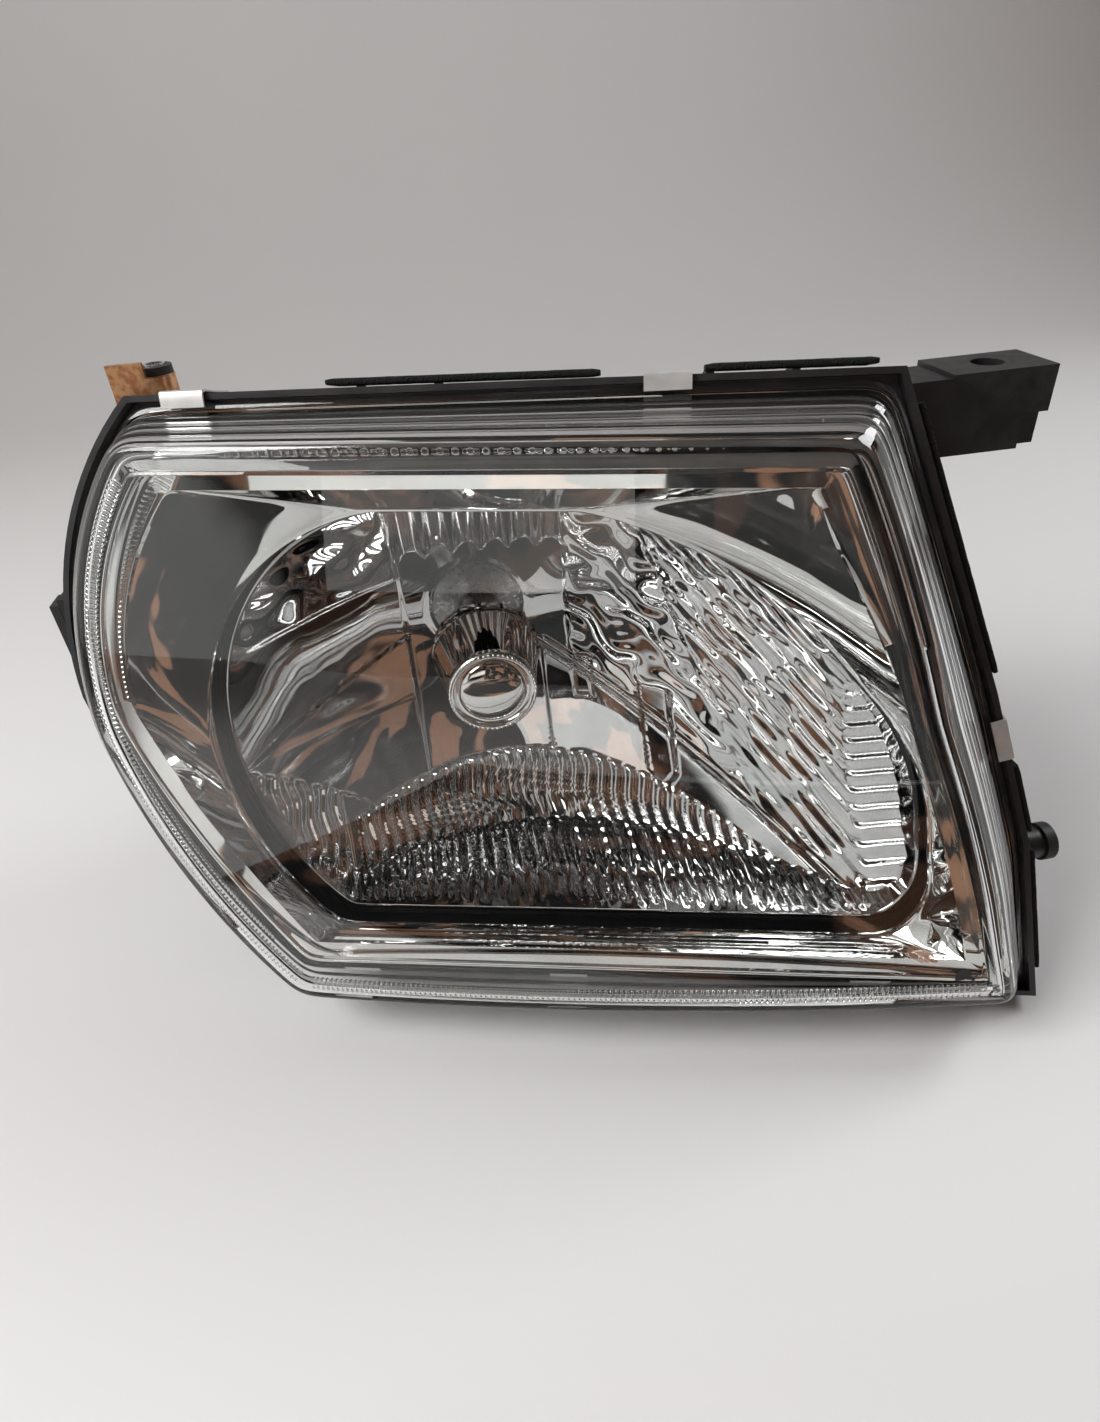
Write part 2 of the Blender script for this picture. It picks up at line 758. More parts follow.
# ------------------------------------------------------------------------- sub-assemblies
@dataclass
class Lens:
    """Clear lens: crowned front, ridged skirt, rim, rows of prisms and fine ribs inside the skirt."""

    shop: Workshop
    counts: tuple[int, ...] = (40, 48, 100, 18, 28, 36, 88)
    wall: float = 2.5
    skirt: float = 25.0
    bead_radius: float = 1.15
    rib_radius: float = 0.5

    def side(self, share: float, offset: float, lift: float = 0.0) -> list[Vector]:
        """Return a ring of the skirt.

        Args:
            share: 0 at the brim and 1 at the glass's edge.
            offset: Millimetres outwards.
            lift: Millimetres out of the face.

        Returns:
            The ring.
        """
        loop = grown(mixed(self.brim, self.glass, share), offset)
        return [FACE.point(u, v, share * (crown(u) + self.skirt) - self.skirt + lift) for u, v in loop]

    def front(self, inset: float, lift: float, shrink: float = 1.0) -> list[Vector]:
        """Return a ring of the crowned front.

        Args:
            inset: Millimetres in from the glass's edge.
            lift: Millimetres out of the crown.
            shrink: Scale about the middle.

        Returns:
            The ring.
        """
        loop = [(u * shrink, (v + 18) * shrink - 18) for u, v in grown(self.glass, -inset)]
        return [FACE.point(u, v, crown(u) + lift) for u, v in loop]

    def build(self) -> None:
        """Build the lens and its optics."""
        self.glass = GLASS.loop(self.counts, 7)
        self.brim = BRIM.loop(self.counts, 8)
        outer = [self.front(9.2, -0.1, shrink)
                 for shrink in (0.06, 0.2, 0.35, 0.5, 0.65, 0.8, 0.92, 0.985)]
        outer += [self.front(inset, lift) for inset, lift in (
            (9.2, -0.1), (8.6, -0.1), (8.0, -0.45), (7.4, -0.45), (6.8, -0.05), (2.6, -0.05), (1.5, -0.25),
            (0.6, -0.8), (0.1, -1.7))]
        for share, offset in ((0.9, 0.0), (0.82, 0.0), (0.79, 0.55), (0.75, 0.55), (0.72, 0.0), (0.62, 0.0),
                              (0.59, 0.5), (0.55, 0.5), (0.52, 0.0), (0.4, 0.0), (0.37, 0.6), (0.32, 0.6),
                              (0.29, 0.0), (0.16, 0.0), (0.13, 0.45), (0.09, 0.45), (0.05, 0.0), (0.02, 0.0)):
            outer.append(self.side(share, offset))
        outer += [self.side(0, offset, lift)
                  for offset, lift in ((0.9, 0.3), (1.4, 0.0), (1.5, -0.6), (1.5, -2.9))]
        inner = [self.side(0, -self.wall, -2.9), self.side(0.0, -self.wall, 0.0)]
        inner += [self.side(share, -self.wall) for share in (0.15, 0.3, 0.45, 0.6, 0.75, 0.86)]
        inner += [self.front(self.wall + inset, -self.wall - depth)
                  for inset, depth in ((0.3, 1.4), (1.2, 0.4), (2.5, 0.0))]
        inner += [self.front(self.wall + 2.5, -self.wall, shrink)
                  for shrink in (0.94, 0.85, 0.7, 0.55, 0.4, 0.25, 0.1)]
        poles = (FACE.point(0, -18, crown(0) - 0.1), FACE.point(0, -18, crown(0) - self.wall))
        mesh = Skin(outer + inner).mesh("lens_shell", poles=poles, crease=40)
        self.shop.fit("lens_shell", mesh, "housing", "clear_lens", ["lens"])
        self.optics()

    def band(self, share: float, inset: float, start: int, stop: int) -> tuple[list[Vector], list[Vector]]:
        """Return a line inside the skirt, and the skirt's slope along it.

        Args:
            share: Where on the skirt, 0 at the brim.
            inset: Millimetres in from the skirt's outside.
            start: First point of the loop.
            stop: Last point of the loop.

        Returns:
            The line and the slopes.
        """
        line, ahead = self.side(share, -inset), self.side(share + 0.1, -inset)
        picked = [i % len(line) for i in range(start, stop)]
        return [line[i] for i in picked], towards([line[i] for i in picked], [ahead[i] for i in picked])

    def optics(self) -> None:
        """Set rows of prisms along the top, and fine ribs down the left and along the bottom."""
        finish = self.shop.materials["clear_lens"]
        total = sum(self.counts)
        low, right = sum(self.counts[:2]), sum(self.counts[:3])
        beads = RowTree(Unit.BEAD, self.bead_radius * MM, 0.0)
        for index, (share, count) in enumerate(((0.66, 40), (0.53, 58))):
            line, lays = self.band(share, self.wall + 1.4, total - self.counts[6] + 6, total - 12)
            name = "lens_prisms_%s" % "ab"[index]
            self.shop.fit(name, beads.along(name, line, lays, count, finish), "housing", "clear_lens")
        ribs = RowTree(Unit.ROD, self.rib_radius * MM, 4.6 * MM)
        line, lays = self.band(0.34, self.wall + 0.5, 4, low - 6)
        self.shop.fit("lens_ribs_outer", ribs.along("lens_ribs_outer", line, lays, 120, finish), "housing",
                      "clear_lens")
        flat, inner = self.front(5.6, -self.wall - 0.6), self.front(6.6, -self.wall - 0.6)
        for name, start, stop, count in (("lens_ribs_side", 4, low - 1, 112),
                                         ("lens_ribs_base", low + 2, right - 4, 128)):
            line = flat[start:stop]
            lays = towards(line, inner[start:stop])
            self.shop.fit(name, ribs.along(name, line, lays, count, finish), "housing", "clear_lens")


@dataclass
class Trim:
    """Bright inner trim: a border strip, a step and slopes down to the dish's window."""

    shop: Workshop
    counts: tuple[int, ...] = (46, 58, 116, 24, 36, 40, 96)
    border: float = 7.5
    sheet: float = 1.5

    def ring(self, share: float, offset: float, out: float, shelf: float = 0.0) -> list[Vector]:
        """Return a ring between the border and the window.

        Args:
            share: 0 at the trim's edge and 1 at the window.
            offset: Millimetres outwards.
            out: Millimetres out of the face.
            shelf: Extra height of the ledges along the bottom.

        Returns:
            The ring.
        """
        made = []
        for u, v in grown(mixed(self.edge, self.window, share), offset):
            flat = max(0.0, min(1.0, (-92 - v) / 8)) * max(0.0, min(1.0, (120 - abs(u - 8)) / 25))
            made.append(FACE.point(u, v + shelf * flat, out))
        return made

    def build(self) -> None:
        """Build the trim as one closed sheet."""
        self.edge = TRIM.loop(self.counts, 5)
        self.window = WINDOW.loop(self.counts, 12)
        wide, sheet, ledge = self.border, self.sheet, -16.6
        top = [self.ring(0, offset, out) for offset, out in (
            (sheet, -32.8), (sheet, -14.6), (sheet - 0.4, -14.15), (0.4, -14.05), (-0.6, -14.3),
            (-1.0, -14.9), (-2.0, -15.0), (-wide + 0.8, -15.2))]
        top += [self.ring(0.06, -wide * 0.8, -15.6), self.ring(0.1, -wide * 0.66, ledge)]
        slope = ((0.2, 0.0), (0.3, 0.2), (0.36, 0.9), (0.4, 0.9), (0.5, 0.3), (0.6, 0.3), (0.66, 1.2),
                 (0.7, 1.2), (0.8, 0.4), (0.9, 0.2), (0.97, 0.0))
        for share, shelf in slope:
            inset = wide * 0.66 * (1 - share) / 0.9
            top.append(self.ring(share, -inset, ledge - 14.4 * (share - 0.1) / 0.9, shelf))
        top += [self.ring(1, offset, out) for offset, out in (
            (-0.3, -31.3), (-0.9, -31.6), (-1.2, -32.3), (-1.0, -33.4), (-0.2, -33.8))]
        under = [self.ring(share, offset, out) for share, offset, out in (
            (1, 1.2, -33.4), (0.7, 1.0, -29.6), (0.35, -0.6, -23.6), (0.12, -wide * 0.5, -19.0),
            (0, -wide * 0.4, -16.8), (0, -0.2, -16.6), (0, -0.2, -32.8))]
        mesh = Skin(top + under).mesh("trim_panel", tube=True, crease=28)
        self.shop.fit("trim_panel", mesh, "housing", "bright_trim", ["bezel"])
        self.foot()

    def foot(self) -> None:
        """Build the flat foot that carries the trim on the housing's shelf."""
        brim, wall = grown(BRIM.loop(self.counts, 8), -7.2), grown(self.edge, 1.4)
        above, below = -31.7, -32.9
        rings = [[FACE.point(u, v, out) for u, v in loop]
                 for loop, out in ((brim, above), (wall, above), (wall, below), (brim, below))]
        self.shop.fit("trim_foot", Skin(rings).mesh("trim_foot", tube=True), "housing", "dull_trim")


@dataclass
class Dish:
    """Mirrored dish: lip, straight walls, faceted and fluted bowl, neck, back and posts."""

    shop: Workshop
    counts: tuple[int, ...] = (86, 70, 160, 30, 54, 84, 54)
    axis: tuple[float, float] = (-15.5, -19.5)
    focus: float = 58.0
    vertex: float = 110.0
    gap: float = 2.0
    wall: float = 2.5
    neck: float = 20.0
    collar: float = 27.0
    rows: int = 132

    def depth(self, x: float, z: float) -> float:
        """Return the plain bowl's place along Y.

        Args:
            x: Place along X.
            z: Place along Z.

        Returns:
            Millimetres along Y.
        """
        return self.vertex - ((x - self.axis[0]) ** 2 + (z - self.axis[1]) ** 2) / (4 * self.focus)

    @staticmethod
    def above(x: float, z: float, a: tuple[float, float], b: tuple[float, float]) -> float:
        """Return how far a point lies above a line.

        Args:
            x: Place along X.
            z: Place along Z.
            a: One point of the line.
            b: Another point, to the right of the first.

        Returns:
            Millimetres, negative below.
        """
        dx, dz = b[0] - a[0], b[1] - a[1]
        return ((z - a[1]) * dx - (x - a[0]) * dz) / math.hypot(dx, dz)

    @staticmethod
    def ease(value: float, width: float = 1.2) -> float:
        """Return 0 below zero and 1 above it, eased over a width."""
        share = max(0.0, min(1.0, value / width + 0.5))
        return share * share * (3 - 2 * share)

    def arch(self, x: float) -> float:
        """Return the height of the arch over the fluted floor at a place along X."""
        return -84.0 - ((x + 8) / 60) ** 2 * (6.5 if x < -8 else 9.5)

    def pattern(self, x: float, z: float) -> float:
        """Return how far the faceted surface stands in front of the plain bowl.

        Args:
            x: Place along X.
            z: Place along Z.

        Returns:
            Millimetres towards the front.
        """
        ease = self.ease
        upper = self.above(x, z, (-112, -11), (-47, -1))
        lower = self.above(x, z, (-110, -53), (-54, -31))
        split = self.above(x, z, (8, -39), (119, -119))
        patch = self.above(x, z, (-117, -53), (-78, -85))
        left = ease(-46 - x, 2.0)
        wave = noise.noise(Vector((x * 0.035, z * 0.035, 1.7)))
        ripple = noise.noise(Vector((x * 0.09, z * 0.09, 5.1)))
        rise = wave * 1.0
        rise += left * ease(upper) * (1.6 + ripple * 0.7)
        rise += left * ease(-upper) * ease(lower) * (0.4 - 0.03 * (x + 80))
        rise += left * ease(-lower) * (1.5 + 0.02 * (z + 60)) * ease(patch)
        fluted = left * ease(-patch) * ease(-84 - x)
        rise += fluted * (0.8 + 0.75 * math.sin(x * 1.25 + 0.8 * math.sin(z * 0.35)))
        crown_zone = ease(x + 46, 2.0) * ease(22 - x, 2.0) * ease(z - 6 - 5 * abs(math.sin(x * 0.28)))
        rise += crown_zone * (1.5 + 1.1 * math.sin(x * 0.56))
        arch = self.arch(x)
        floor = ease(arch - z, 1.0) * ease(x + 78)
        flute = 2.2 + 0.85 * math.sin(x * 1.12 + 0.9 * math.sin(z * 0.3 + x * 0.02))
        rise = rise * (1 - floor) + floor * flute
        gusset = ease(x - 22, 2.0) * ease(split) * (1 - floor)
        ribs = ease(x - 62 + 0.35 * (z + 20), 3.0) * gusset
        rise += ribs * (1.2 + (0.12 + 0.6 * self.ease(ripple, 0.5)) * math.sin((x + z * 0.85) * 0.7 + ripple))
        rise += gusset * (1 - ribs) * (0.8 + 0.5 * math.sin((x + z) * 0.3 + ripple * 3))
        rise += ease(-split) * ease(x - 10) * (1 - floor) * (1.7 + 0.012 * (x - 40))
        rise += math.exp(-(split / 0.9) ** 2) * ease(x - 8) * 0.9
        rise += math.exp(-((split - 3.2) / 0.8) ** 2) * ease(x - 12) * 0.7
        slot = ease(x - 49) * ease(60 - x) * ease(-56 - z) * ease(z + 97 - 1.3 * abs(x - 54.5))
        rise -= slot * 2.6
        tab = max(abs(x - 26) - 3.5, abs(z + 53.5) - 8.5)
        rise += math.exp(-(tab / 0.6) ** 2) * 0.8
        hem = ease(x - 116 + (z + 40) * 0.03, 2.0) * ease(-34 - z)
        rise = rise * (1 - hem) + hem * (1.4 + 0.8 * math.sin((z - x * 0.7) * 1.0))
        column = ease(x + 83) * ease(-78 - x) * ease(-84 - z)
        return rise * (1 - column) - column * 0.6

    def lip(self, offset: float, out: float) -> list[Vector]:
        """Return a ring of the lip.

        Args:
            offset: Millimetres outwards from the window's outline.
            out: Millimetres out of the face.

        Returns:
            The ring.
        """
        return [FACE.point(u, v, out) for u, v in grown(self.window, offset)]

    def build(self) -> None:
        """Build the dish, its walls and its back as one closed shell."""
        self.window = WINDOW.loop(self.counts, 12)
        home = Vector(FACE.middle)
        mouth = [(point - home) / MM for point in self.lip(-self.gap, -44.0)]
        rings = [self.lip(offset - self.gap, out)
                 for offset, out in ((4, -46.4), (4, -44.4), (3.6, -44.0), (0.8, -44.0), (0, -44.3))]
        ax, az = self.axis
        hub = []
        for point in mouth:
            away = Vector((point.x - ax, point.z - az)).normalized()
            hub.append((ax + away.x * self.neck, az + away.y * self.neck))
        steps = 14
        foot = []
        for point in mouth:
            rise = min(3.0, max(0.0, self.pattern(point.x, point.z)))
            foot.append(max(point.y + 1.0, self.depth(point.x, point.z) - rise))
        for step in range(1, steps):
            share = step / steps
            ring = []
            for point, end in zip(mouth, foot):
                y = point.y + (end - point.y) * share
                wide = self.ease(share - 0.22, 0.3)
                wide *= self.ease(-88 - point.z, 6.0) * self.ease(118 - point.x, 6)
                bulge = wide * (0.9 + 0.8 * math.sin(point.x * 1.12))
                ring.append(row_point(point.x, y, point.z + bulge))
            rings.append(ring)
        for row in range(self.rows + 1):
            share = row / self.rows
            ring = []
            for point, end, (hx, hz) in zip(mouth, foot, hub):
                x, z = point.x + (hx - point.x) * share, point.z + (hz - point.z) * share
                calm = self.ease(math.hypot(x - ax, z - az) - self.neck - 1.5, 3.0)
                y = self.depth(x, z) - max(-1.5, self.pattern(x, z)) * calm
                ring.append(row_point(x, min(y, self.vertex) if row else end, z))
            rings.append(ring)
        for radius, y in ((self.neck, 112.0), (self.neck, 116.0), (self.collar, 116.0),
                          (self.collar, 112.0)):
            ring = []
            for hx, hz in hub:
                scale = radius / self.neck
                ring.append(row_point(ax + (hx - ax) * scale, y, az + (hz - az) * scale))
            rings.append(ring)
        back = [(point.x, point.z) for point in mouth]
        for share in (0.14, 0.3, 0.45, 0.6, 0.75, 0.9, 1.0):
            ring = []
            for (px, pz), (hx, hz), point in zip(back, hub, mouth):
                sx, sz = ax + (hx - ax) * self.collar / self.neck, az + (hz - az) * self.collar / self.neck
                x, z = sx + (px - sx) * share, sz + (pz - sz) * share
                y = self.depth(x, z) + self.wall
                ring.append(row_point(x, max(y, point.y + 2) if share == 1 else y, z))
            rings.append(ring)
        outside = grown(self.window, -self.gap + self.wall)
        ring = []
        for (u, v), point in zip(outside, mouth):
            edge = (FACE.point(u, v, -46.4) - home) / MM
            ring.append(row_point(edge.x, max(edge.y + 1.5, self.depth(point.x, point.z) + 1.5), edge.z))
        rings.append(ring)
        rings.append([FACE.point(u, v, -46.6) for u, v in outside])
        mesh = Skin(rings).mesh("dish_shell", tube=True, crease=38)
        self.shop.fit("dish_shell", mesh, "reflector", "mirror_coat", ["reflector"])
        self.posts()

    def posts(self) -> None:
        """Build the three posts that carry the ball sockets, as moulded tubes with a fillet."""
        for name, x, z, end in (("post_pivot", 70, 25, 90.7), ("post_level", 70, -60, 91),
                                ("post_swing", -80, 25, 91)):
            rings = []
            for radius, lift, y in ((10.5, 1.2, 0.0), (8.6, 3.4, 0.0), (7.8, 5.4, 0.0), (7.5, 0.0, end - 0.8),
                                    (6.9, 0.0, end)):
                ring = []
                for i in range(40):
                    px = x + radius * math.cos(math.tau * i / 40)
                    pz = z + radius * math.sin(math.tau * i / 40)
                    ring.append(row_point(px, min(y or self.depth(px, pz) + lift, end), pz))
                rings.append(ring)
            poles = (row_point(x, self.depth(x, z) + 1.2, z), row_point(x, end, z))
            self.shop.fit(name, Skin(rings).mesh(name, poles=poles), "reflector", "mirror_coat")


@dataclass
class Turned:
    """What is turned about the lamp's axis."""

    shop: Workshop
    axis: tuple[float, float] = (-15.5, -19.5)
    segments: int = 144

    def ring(self, radius: float, y: float) -> list[Vector]:
        """Return a ring about the lamp's axis.

        Args:
            radius: Millimetres.
            y: Place along Y.

        Returns:
            The ring.
        """
        turns = [math.tau * i / self.segments for i in range(self.segments)]
        return [row_point(self.axis[0] + radius * math.cos(t), y, self.axis[1] + radius * math.sin(t))
                for t in turns]


@dataclass
class Shield(Turned):
    """Cup in front of the bulb: domed front, beaded rolled rim, cone with slots, and its leg."""

    back: float = 70.0
    large: float = 20.5
    slots: int = 16

    def build(self) -> None:
        """Build the cup, its beads and its leg."""
        dome = [(2.0, 36.9), (5.0, 37.15), (8.0, 37.7), (10.5, 38.5), (11.8, 39.4), (12.4, 40.4),
                (13.0, 40.4), (13.6, 39.5), (14.4, 38.7), (15.2, 38.7), (15.9, 39.4), (16.2, 40.4),
                (15.9, 41.4)]
        lip, edge = 15.9, 41.4
        slope = [(lip + (self.large - lip) * s, edge + (self.back - edge) * s)
                 for s in (0.04, 0.3, 0.6, 0.8, 0.86)]
        rim = [(self.large - 0.1, 66.6), (self.large + 0.1, 67.0), (self.large + 0.1, 69.6),
               (self.large, self.back), (self.large - 0.7, self.back), (self.large - 0.8, 67.0)]
        inside = [(lip + (self.large - lip) * s - 0.8, edge + (self.back - edge) * s)
                  for s in (0.8, 0.5, 0.2, 0.04)]
        floor = [(11.0, 41.2), (8.0, 39.4), (5.0, 38.5), (2.0, 38.1)]
        rings = [self.ring(radius, y) for radius, y in dome + slope + rim + inside + floor]
        poles = (row_point(self.axis[0], 36.8, self.axis[1]), row_point(self.axis[0], 38.0, self.axis[1]))
        mesh = Skin(rings).mesh("shield_cup", poles=poles, crease=50)
        self.shop.fit("shield_cup", mesh, "reflector", "bright_trim", ["bulb_shield"])
        beads = RowTree(Unit.BEAD, 0.62 * MM, 0.0)
        line = self.ring(15.35, 38.95)
        bright, black = self.shop.materials["bright_trim"], self.shop.materials["black_moulding"]
        self.shop.fit("shield_beads", beads.along("shield_beads", line, line, 56, bright, True), "reflector",
                      "bright_trim")
        line = self.ring(self.large + 0.06, 67.9)
        ahead = self.ring(self.large + 0.3, 72.0)
        blocks = RowTree(Unit.BLOCK, 0.75 * MM, 2.6 * MM)
        mesh = blocks.along("shield_slots", line, towards(line, ahead), self.slots, black, True)
        self.shop.fit("shield_slots", mesh, "reflector", "black_moulding")
        self.leg()

    def leg(self) -> None:
        """Build the leg from the cup's edge back into the neck."""
        x, z = self.axis
        rings = []
        for y, rise in ((68.4, 0.35), (69.6, 0.1), (72.0, 0.0), (88.0, 0.0), (106.0, 0.0), (109.6, 0.0),
                        (110.0, 0.0)):
            half, low = (4.0 if y < 109.7 else 3.4), z - 21.4 + rise
            section = ((-half, low), (half, low), (half, low + 0.75), (-half, low + 0.75))
            rings.append([row_point(x + dx, y, dz) for dx, dz in section])
        poles = (row_point(x, 68.4, z - 20.7), row_point(x, 110.0, z - 21.0))
        mesh = Skin(rings).mesh("shield_leg", poles=poles)
        self.shop.fit("shield_leg", mesh, "reflector", "bright_trim")


@dataclass
class Edging:
    """Spring clips and foam strips round the flange."""

    shop: Workshop
    reach: float = 4.5
    places: tuple[tuple[float, float, float], ...] = (
        (-113, 88.9, 0), (36, 87.6, 0), (140.8, -23, -72.2), (110, -117, 180), (0, -117, 180),
        (-80, -117, 180))

    def clips(self) -> None:
        """Build the bent steel clips as one piece."""
        reach = self.reach
        outside = [(0.2, -21.25), (2.0, -21.2), (reach - 0.6, -21.2), (reach + 0.5, -21.45),
                   (reach + 0.95, -22.1),
                   (reach + 1.0, -24.0), (reach + 0.8, -31.0), (reach + 1.0, -38.6), (reach + 0.9, -40.0),
                   (reach + 0.3, -40.6), (3.7, -40.6)]
        inside = [(3.7, -39.9), (reach, -39.8), (reach + 0.25, -38.6), (reach + 0.12, -31.0),
                  (reach + 0.25, -24.0), (reach - 0.1, -22.1), (2.0, -22.0), (0.2, -22.0)]
        profile = outside + inside
        points, faces = [], []
        stations = (-7.0, -6.6, 6.6, 7.0)
        for u, v, angle in self.places:
            cos, sin = math.cos(math.radians(angle)), math.sin(math.radians(angle))
            base = len(points)
            for station in stations:
                shrink = 0.12 if abs(station) > 6.8 else 0.0
                for index, (up, out) in enumerate(profile):
                    edge = -shrink if index < len(outside) else shrink
                    x, y = station, up + (edge if 2 < index < 16 else 0)
                    points.append(FACE.point(u + x * cos - y * sin, v + x * sin + y * cos, out))
            size = len(profile)
            for ring in range(len(stations) - 1):
                here, there = base + ring * size, base + (ring + 1) * size
                faces += [(here + i, here + (i + 1) % size, there + (i + 1) % size, there + i)
                          for i in range(size)]
            last = len(outside) - 1
            for ring in (0, len(stations) - 1):
                here = base + ring * size
                for i in range(last):
                    mate = size - 1 - min(i, len(inside) - 1)
                    mate_next = size - 1 - min(i + 1, len(inside) - 1)
                    corners = [here + i, here + i + 1, here + mate_next, here + mate]
                    faces.append(tuple(dict.fromkeys(corners)))
        mesh = solid_mesh("edge_clips", points, faces, 40)
        self.shop.fit("edge_clips", mesh, "housing", "spring_steel", ["lens_clips"])

    def strip(self, start: tuple[float, float], end: tuple[float, float], seed: float) -> list[list[Vector]]:
        """Return the rings of one foam strip.

        Args:
            start: Its first end on the brim's outline.
            end: Its other end.
            seed: What makes its edges differ from the others'.

        Returns:
            The rings from end to end.
        """
        along = Vector((end[0] - start[0], end[1] - start[1]))
        long = along.length
        along.normalize()
        outward = Vector((along.y, -along.x))
        rings = []
        count = max(8, int(long / 2.2))
        lift = self.reach + 0.55
        for step in range(count + 1):
            place = long * step / count
            taper = min(1.0, min(place, long - place) / 2.0 + 0.72)
            ring = []
            for k in range(20):
                turn = math.tau * k / 20
                cx, cy = math.cos(turn), math.sin(turn)
                reach = max(abs(cx), abs(cy)) ** 0.86
                wide, high = cx / reach * 4.4, cy / reach * 1.12 * taper
                rough = noise.noise(Vector((place * 0.35, k * 0.9, seed))) * 0.22
                spot = Vector(start) + along * place + outward * (lift + 1.2 + high + rough * 0.4)
                ring.append(FACE.point(spot.x, spot.y, -29.5 + wide + rough * 0.5))
            rings.append(ring)
        return rings

    def foam(self) -> None:
        """Build the foam strips."""
        strips = {
            "foam_top": (((16, 87.5), (-68, 88.4)), ((96, 87.1), (47, 87.5))),
            "foam_side": (((134, -2.7), (103, 79.1)), ((162, -112), (153.6, -65)),
                          ((152.2, -58.5), (144.5, -34.8))),
        }
        for node, ends in strips.items():
            for index, (start, end) in enumerate(ends):
                rings = self.strip(start, end, index * 3.7)
                middle = [sum(ring, Vector()) / len(ring) for ring in (rings[0], rings[-1])]
                name = "%s_strip_%s" % (node, "abc"[index])
                mesh = Skin(rings).mesh(name, poles=(middle[0], middle[1]), crease=70)
                self.shop.fit(name, mesh, "housing", "black_foam", [node])

    def build(self) -> None:
        """Build the clips and the foam."""
        self.clips()
        self.foam()


@dataclass
class Boot(Turned):
    """Rubber boot over the rear opening: rolled edge, folds, sleeve, grip ribs and a pull tab."""

    segments: int = 112
    ribs: int = 48

    def build(self) -> None:
        """Build the boot, its ribs and its tab."""
        outside = [(42.3, 118.7), (44.0, 118.7), (45.0, 119.3), (45.3, 120.4), (45.0, 121.6), (44.5, 122.3),
                   (44.5, 130.2), (44.2, 131.8), (43.4, 132.9), (41.5, 134.0), (40.6, 134.9), (39.2, 135.3),
                   (37.4, 135.9), (36.4, 137.0), (35.0, 138.6), (33.6, 139.0), (31.8, 139.5), (30.8, 140.7),
                   (29.4, 142.4), (28.0, 142.9), (26.2, 143.8), (24.9, 145.6), (23.6, 146.6), (21.5, 147.0),
                   (18.6, 147.0), (17.8, 147.4), (17.6, 148.2), (17.9, 149.2), (17.4, 149.9), (16.4, 150.0)]
        inside = [(15.4, 149.8), (15.2, 149.0), (15.2, 145.2), (15.6, 144.7), (23.6, 144.6), (27.0, 141.4),
                  (33.0, 137.4), (40.0, 132.6), (42.3, 131.0)]
        rings = [self.ring(radius, y) for radius, y in outside + inside]
        mesh = Skin(rings).mesh("boot_shell", tube=True, crease=60)
        self.shop.fit("boot_shell", mesh, "boot", "black_rubber", ["rear_boot"])
        line, ahead = self.ring(44.6, 126.3), self.ring(44.6, 128.0)
        ribs = RowTree(Unit.ROD, 0.55 * MM, 6.4 * MM)
        mesh = ribs.along("boot_ribs", line, towards(line, ahead), self.ribs,
                          self.shop.materials["black_rubber"], True)
        self.shop.fit("boot_ribs", mesh, "boot", "black_rubber")
        self.tab()

    def tab(self) -> None:
        """Build the pull tab below the boot, thicker round its edge."""
        x, z = self.axis
        rings = []
        for inset, y in ((2.6, 126.0), (2.0, 125.4), (0.8, 125.2), (0.0, 125.8), (0.0, 128.2), (0.8, 128.8),
                         (2.0, 128.6), (2.6, 128.0)):
            ring = []
            for i in range(32):
                turn = math.tau * i / 32
                cx, cz = math.cos(turn), math.sin(turn)
                reach = (abs(cx) ** 4 + abs(cz) ** 4) ** 0.25
                ring.append(row_point(x + cx / reach * (9.0 - inset), y,
                                      z - 50.0 + cz / reach * (6.0 - inset)))
            rings.append(ring)
        poles = (row_point(x, 126.0, z - 50.0), row_point(x, 128.0, z - 50.0))
        mesh = Skin(rings).mesh("boot_tab", poles=poles, crease=60)
        self.shop.fit("boot_tab", mesh, "boot", "black_rubber")


@dataclass
class Plain:
    """CAD nodes that keep their shape and get their finish."""

    shop: Workshop
    slots: dict[str, tuple[str, ...]] = field(default_factory=lambda: {
        "black_moulding": ("housing_shell", "level_knob", "swing_knob"),
        "sealant": ("lens_seal",),
        "zinc_steel": ("bracket_screws", "bracket_sleeve", "pivot_ball_stud", "pivot_nut", "shield_screw",
                       "level_rod", "swing_rod", "bulb_cap", "clip_bracket", "clip_catch"),
        "black_rubber": ("bracket_bush", "left_pad", "right_stop", "vent_elbows", "level_seal", "swing_seal"),
        "copper_plate": ("left_bracket",),
        "white_nylon": ("pivot_socket", "level_socket", "swing_socket"),
        "bulb_glass": ("bulb_glass",),
        "tungsten": ("bulb_filaments", "filament_posts"),
        "grey_ceramic": ("bulb_insulator",),
        "brass_blade": ("bulb_blades",),
        "spring_steel": ("bulb_clip",),
    })

    def build(self) -> None:
        """Dress every node that no detailed piece stands for."""
        for slot, nodes in self.slots.items():
            for node in nodes:
                self.shop.dress(node, slot)


